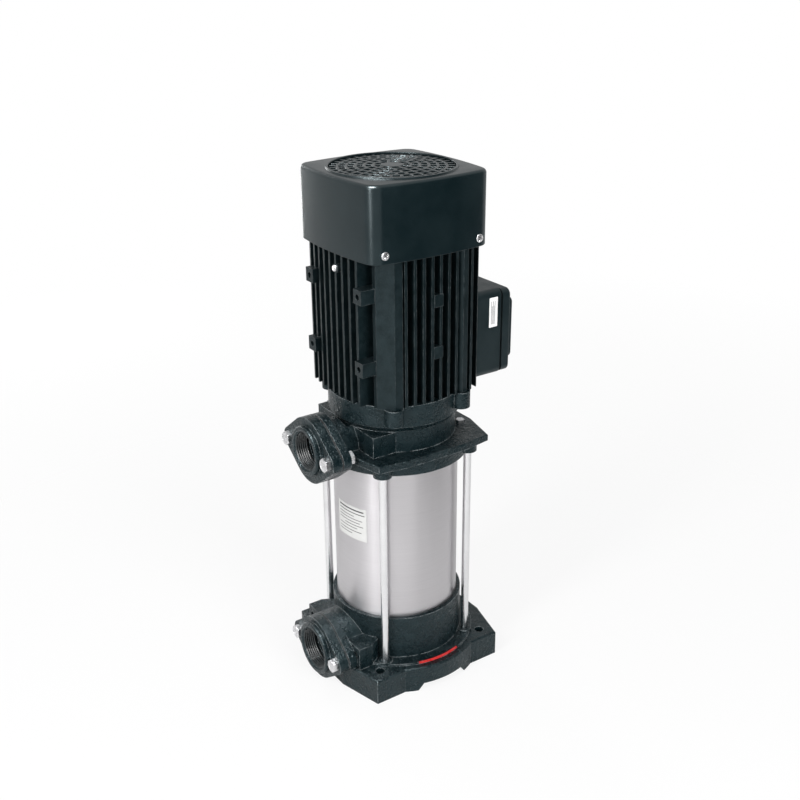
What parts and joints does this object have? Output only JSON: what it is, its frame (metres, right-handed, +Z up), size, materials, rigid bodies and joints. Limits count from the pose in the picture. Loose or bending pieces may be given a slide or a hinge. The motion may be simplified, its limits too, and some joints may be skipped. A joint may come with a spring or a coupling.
{
  "type": "vertical multistage pump",
  "caption": "Upright inline pump: cast base and head, steel sleeve between tie rods, finned electric motor on top, both threaded ports facing the same way.",
  "frame": {"origin": "on the pump axis, in the plane of the base's underside, at the centre of the four foot bolts", "axes": "+Z up the pump axis, -Y out of both ports, +Y towards the terminal box, +X to the right seen from the ports' side"},
  "size_m": [0.18, 0.2248, 0.537],
  "materials": {
    "black_casting": "satin black paint over a cast surface",
    "black_aluminium": "satin black paint over die-cast fins",
    "black_cover": "smooth satin black",
    "fan_plastic": "moulded",
    "terminal_plastic": "moulded",
    "brushed_sleeve": "brushed along the circumference",
    "bright_steel": "drawn bright",
    "zinc_steel": "zinc plated",
    "copper_washer": "plain",
    "gasket_rubber": "matte",
    "stainless": "pressed sheet",
    "carbon": "lapped",
    "ceramic": "lapped",
    "laminated_steel": "stacked laminations",
    "copper_wire": "enamelled",
    "brass_cage": "machined"
  },
  "bodies": {
    "stationary": {"base_casting": "black_casting", "bearing_outer_rings": "bright_steel", "cable_gland": "fan_plastic", "discharge_flange": "black_casting", "drain_plug": "zinc_steel", "drive_endshield": "black_casting", "earth_screw": "zinc_steel", "fan_cover": "black_cover", "fan_cover_screws": "zinc_steel", "flange_bolts": "zinc_steel", "flange_gaskets": "gasket_rubber", "flange_nuts": "zinc_steel", "inlet_spider": "stainless", "lower_bush": "carbon", "motor_fixing_screws": "zinc_steel", "motor_housing": "black_aluminium", "motor_tie_bolts": "zinc_steel", "outer_sleeve": "brushed_sleeve", "plug_washers": "copper_washer", "priming_plug": "zinc_steel", "pump_head": "black_casting", "rear_endshield": "black_casting", "seal_seat": "ceramic", "sleeve_gaskets": "gasket_rubber", "stack_clamp_ring": "stainless", "stage_bowl_1": "stainless", "stage_bowl_2": "stainless", "stage_bowl_3": "stainless", "stage_bowl_4": "stainless", "stage_bowl_5": "stainless", "stage_eye_plates": "stainless", "stator_core": "laminated_steel", "stator_windings": "copper_wire", "suction_flange": "black_casting", "terminal_block": "terminal_plastic", "terminal_box": "black_cover", "terminal_box_gasket": "gasket_rubber", "terminal_box_lid": "black_cover", "terminal_lid_screws": "zinc_steel", "tie_rod_nuts": "zinc_steel", "tie_rod_washers": "zinc_steel", "tie_rods": "bright_steel", "vent_screw": "zinc_steel"},
    "rotor": {"bearing_inner_rings": "bright_steel", "cooling_fan": "fan_plastic", "impeller_1": "stainless", "impeller_2": "stainless", "impeller_3": "stainless", "impeller_4": "stainless", "impeller_5": "stainless", "rotor_core": "laminated_steel", "rotor_shaft": "bright_steel", "seal_bellows": "gasket_rubber", "seal_face": "carbon", "shaft_nut": "stainless", "shaft_spacers": "stainless"},
    "ball_sets": {"bearing_balls": "bright_steel", "bearing_cages": "brass_cage"}
  },
  "joints": [
    {"name": "rotor_spin", "type": "hinge", "parent": "stationary", "child": "rotor", "pos_m": [0, 0, 0.3], "axis": [0, 0, 1], "continuous": true},
    {"name": "cage_spin", "type": "hinge", "parent": "stationary", "child": "ball_sets", "pos_m": [0, 0, 0.3], "axis": [0, 0, 1], "continuous": true}
  ],
  "couplings": [
    {"joint": "cage_spin", "follows": "rotor_spin", "ratio": 0.38}
  ]
}
